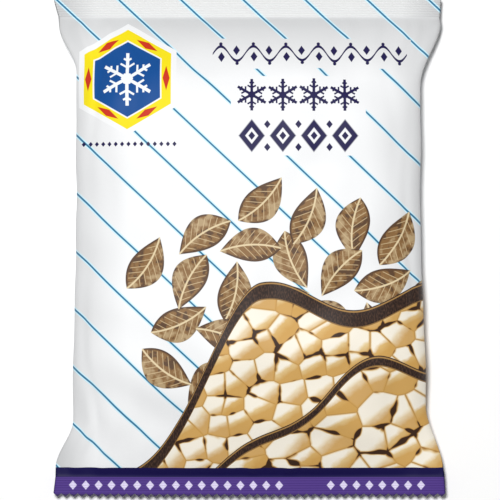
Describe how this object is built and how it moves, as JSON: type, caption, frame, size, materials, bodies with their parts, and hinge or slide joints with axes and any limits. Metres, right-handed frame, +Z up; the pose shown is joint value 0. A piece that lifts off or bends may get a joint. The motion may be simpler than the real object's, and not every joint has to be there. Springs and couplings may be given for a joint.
{
  "type": "frozen vegetable pouch",
  "caption": "Filled pillow pouch of frozen cut tubers, lying on its back, with two crimped and toothed end seals and a folded fin seal down the back.",
  "frame": {"origin": "on the surface that the pouch lies on, under the middle of its outline", "axes": "+X across the pouch, +Y along it towards its top seal, +Z up, out of its front panel"},
  "size_m": [0.195, 0.248, 0.039],
  "materials": {
    "film": "printed white film, satin gloss",
    "tuber": "frozen peeled tuber, matt with a light frost"
  },
  "bodies": {
    "root": {"pouch_film": "film", "tuber_piece_01": "tuber", "tuber_piece_02": "tuber", "tuber_piece_03": "tuber", "tuber_piece_04": "tuber", "tuber_piece_05": "tuber", "tuber_piece_06": "tuber", "tuber_piece_07": "tuber", "tuber_piece_08": "tuber", "tuber_piece_09": "tuber", "tuber_piece_10": "tuber", "tuber_piece_11": "tuber", "tuber_piece_12": "tuber", "tuber_piece_13": "tuber", "tuber_piece_14": "tuber", "tuber_piece_15": "tuber", "tuber_piece_16": "tuber", "tuber_piece_17": "tuber", "tuber_piece_18": "tuber", "tuber_piece_19": "tuber", "tuber_piece_20": "tuber", "tuber_piece_21": "tuber", "tuber_piece_22": "tuber", "tuber_piece_23": "tuber", "tuber_piece_24": "tuber", "tuber_piece_25": "tuber", "tuber_piece_26": "tuber", "tuber_piece_27": "tuber", "tuber_piece_28": "tuber", "tuber_piece_29": "tuber", "tuber_piece_30": "tuber", "tuber_piece_31": "tuber", "tuber_piece_32": "tuber", "tuber_piece_33": "tuber", "tuber_piece_34": "tuber", "tuber_piece_35": "tuber", "tuber_piece_36": "tuber", "tuber_piece_37": "tuber", "tuber_piece_38": "tuber", "tuber_piece_39": "tuber", "tuber_piece_40": "tuber", "tuber_piece_41": "tuber", "tuber_piece_42": "tuber", "tuber_piece_43": "tuber", "tuber_piece_44": "tuber", "tuber_piece_45": "tuber", "tuber_piece_46": "tuber", "tuber_piece_47": "tuber", "tuber_piece_48": "tuber", "tuber_piece_49": "tuber", "tuber_piece_50": "tuber", "tuber_piece_51": "tuber", "tuber_piece_52": "tuber", "tuber_piece_53": "tuber", "tuber_piece_54": "tuber", "tuber_piece_55": "tuber"}
  },
  "joints": []
}
